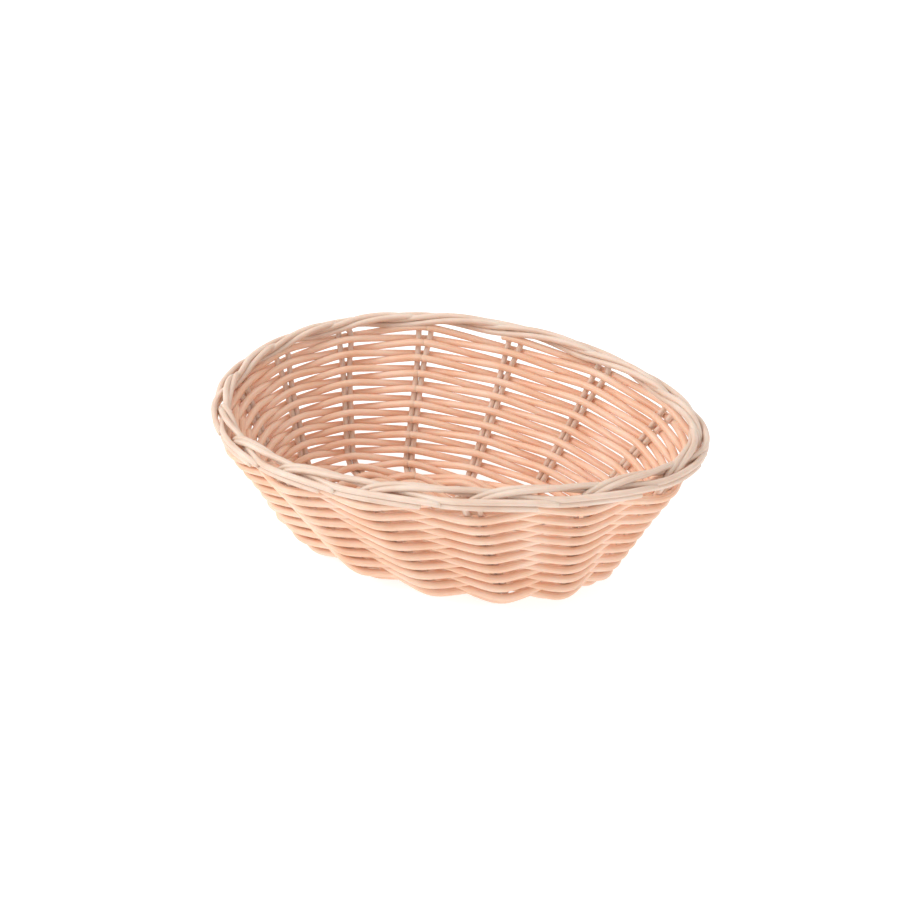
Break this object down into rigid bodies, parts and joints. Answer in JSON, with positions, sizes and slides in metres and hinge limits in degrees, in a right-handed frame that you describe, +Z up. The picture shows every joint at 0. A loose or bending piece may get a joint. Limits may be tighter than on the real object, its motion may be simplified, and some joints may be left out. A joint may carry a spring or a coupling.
{
  "type": "woven fruit basket",
  "caption": "Oval open fruit basket with flared sides, woven from round polypropylene cord over paired stakes, with a rolled border made of the stakes' ends.",
  "frame": {"origin": "centre of the bounding box's bottom face, on the surface the basket stands on", "axes": "+X along the length, +Y across the width, +Z up out of the open top"},
  "size_m": [0.2432, 0.1628, 0.0864],
  "materials": {
    "weaver_cord": "satin",
    "stake_cord": "satin"
  },
  "bodies": {
    "root": {"base_row_01": "weaver_cord", "base_row_02": "weaver_cord", "base_row_03": "weaver_cord", "base_row_04": "weaver_cord", "base_row_05": "weaver_cord", "base_row_06": "weaver_cord", "base_row_07": "weaver_cord", "base_row_08": "weaver_cord", "wall_row_01": "weaver_cord", "wall_row_02": "weaver_cord", "wall_row_03": "weaver_cord", "wall_row_04": "weaver_cord", "wall_row_05": "weaver_cord", "wall_row_06": "weaver_cord", "wall_row_07": "weaver_cord", "wall_row_08": "weaver_cord", "wall_row_09": "weaver_cord", "wall_row_10": "weaver_cord", "wall_row_11": "weaver_cord", "wall_row_12": "weaver_cord", "wall_row_13": "weaver_cord", "wall_row_14": "weaver_cord", "wall_row_15": "weaver_cord", "wall_row_16": "weaver_cord", "wall_row_17": "weaver_cord", "wall_row_18": "weaver_cord", "wall_row_19": "weaver_cord", "wall_row_20": "weaver_cord", "wall_row_21": "weaver_cord", "cross_stake_1a": "stake_cord", "cross_stake_1b": "stake_cord", "cross_stake_2a": "stake_cord", "cross_stake_2b": "stake_cord", "cross_stake_3a": "stake_cord", "cross_stake_3b": "stake_cord", "cross_stake_4a": "stake_cord", "cross_stake_4b": "stake_cord", "cross_stake_5a": "stake_cord", "cross_stake_5b": "stake_cord", "long_stake_1a": "stake_cord", "long_stake_1b": "stake_cord", "long_stake_2a": "stake_cord", "long_stake_2b": "stake_cord", "half_stake_a": "stake_cord", "half_stake_b": "stake_cord"}
  },
  "joints": []
}
